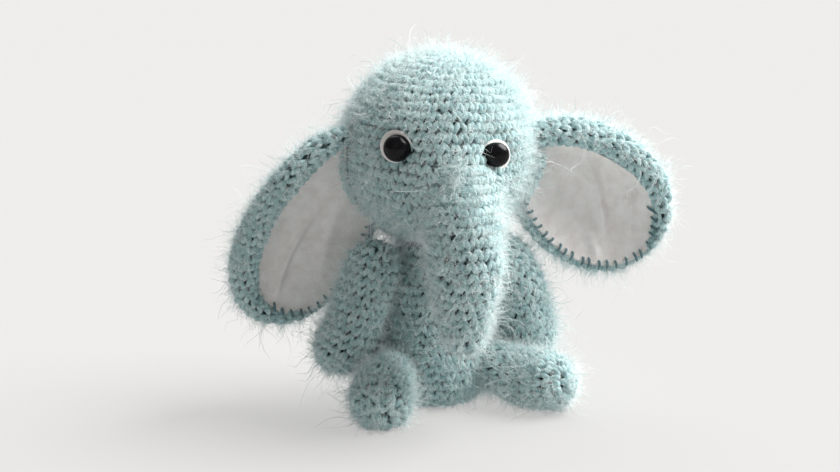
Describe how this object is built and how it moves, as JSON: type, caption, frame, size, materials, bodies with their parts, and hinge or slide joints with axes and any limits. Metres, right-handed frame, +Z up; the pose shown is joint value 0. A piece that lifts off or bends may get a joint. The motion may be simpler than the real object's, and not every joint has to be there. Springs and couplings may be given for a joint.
{
  "type": "stuffed elephant",
  "caption": "Sitting crocheted stuffed elephant with a hanging trunk, felt-lined ears, bead eyes, arms and legs.",
  "frame": {"origin": "centre of the flat seat of the torso, on the surface that the toy sits on", "axes": "+Z up, -Y the way the toy faces, +X the toy's own left"},
  "size_m": [0.1312, 0.0704, 0.1028],
  "materials": {
    "yarn": "fuzzy mohair crochet, pale blue-green",
    "felt": "soft off-white wool felt",
    "stuffing": "loose white polyester fibre",
    "eye_bead": "polished black",
    "washer": "moulded white"
  },
  "bodies": {
    "torso": {"torso_shell": "yarn", "torso_stuffing": "stuffing", "neck_seam_yarn": "yarn"},
    "head": {"head_shell": "yarn", "head_stuffing": "stuffing", "left_eye_bead": "eye_bead", "left_eye_felt": "felt", "left_eye_washer": "washer", "right_eye_bead": "eye_bead", "right_eye_felt": "felt", "right_eye_washer": "washer"},
    "trunk": {"trunk_shell": "yarn", "trunk_stuffing": "stuffing"},
    "left_ear": {"left_ear_panel": "yarn", "left_ear_felt": "felt", "left_ear_stitch_yarn": "yarn"},
    "right_ear": {"right_ear_panel": "yarn", "right_ear_felt": "felt", "right_ear_stitch_yarn": "yarn"},
    "left_arm": {"left_arm_shell": "yarn", "left_arm_stuffing": "stuffing"},
    "right_arm": {"right_arm_shell": "yarn", "right_arm_stuffing": "stuffing"},
    "left_leg": {"left_leg_shell": "yarn", "left_leg_stuffing": "stuffing"},
    "right_leg": {"right_leg_shell": "yarn", "right_leg_stuffing": "stuffing"}
  },
  "joints": [
    {"name": "head_turn", "type": "hinge", "parent": "torso", "child": "head", "pos_m": [0.0015, -0.003, 0.0478], "axis": [0, 0, 1], "range_deg": [-7, 7], "stiffness_Nm_per_rad": 0.02},
    {"name": "trunk_lift", "type": "hinge", "parent": "head", "child": "trunk", "pos_m": [-0.00227, -0.02747, 0.08592], "axis": [-0.9835, 0.1734, 0.0523], "range_deg": [0, 25], "stiffness_Nm_per_rad": 0.004},
    {"name": "left_ear_flap", "type": "hinge", "parent": "head", "child": "left_ear", "pos_m": [0.02833, -0.00773, 0.07567], "axis": [0.0515, -0.0091, 0.9986], "range_deg": [-14, 14], "stiffness_Nm_per_rad": 0.003},
    {"name": "right_ear_flap", "type": "hinge", "parent": "head", "child": "right_ear", "pos_m": [-0.0252, 0.00171, 0.07802], "axis": [-0.0515, 0.0091, -0.9986], "range_deg": [-14, 14], "stiffness_Nm_per_rad": 0.003},
    {"name": "left_arm_lift", "type": "hinge", "parent": "torso", "child": "left_arm", "pos_m": [0.0193, -0.006, 0.0426], "axis": [0, -1, 0], "range_deg": [0, 30], "stiffness_Nm_per_rad": 0.002},
    {"name": "right_arm_lift", "type": "hinge", "parent": "torso", "child": "right_arm", "pos_m": [-0.0193, -0.006, 0.0426], "axis": [0, 1, 0], "range_deg": [0, 30], "stiffness_Nm_per_rad": 0.002},
    {"name": "left_leg_lift", "type": "hinge", "parent": "torso", "child": "left_leg", "pos_m": [0.0126, -0.0065, 0.0117], "axis": [-1, 0, 0], "range_deg": [0, 18], "stiffness_Nm_per_rad": 0.004},
    {"name": "right_leg_lift", "type": "hinge", "parent": "torso", "child": "right_leg", "pos_m": [-0.0126, -0.0065, 0.0117], "axis": [-1, 0, 0], "range_deg": [0, 18], "stiffness_Nm_per_rad": 0.004}
  ]
}
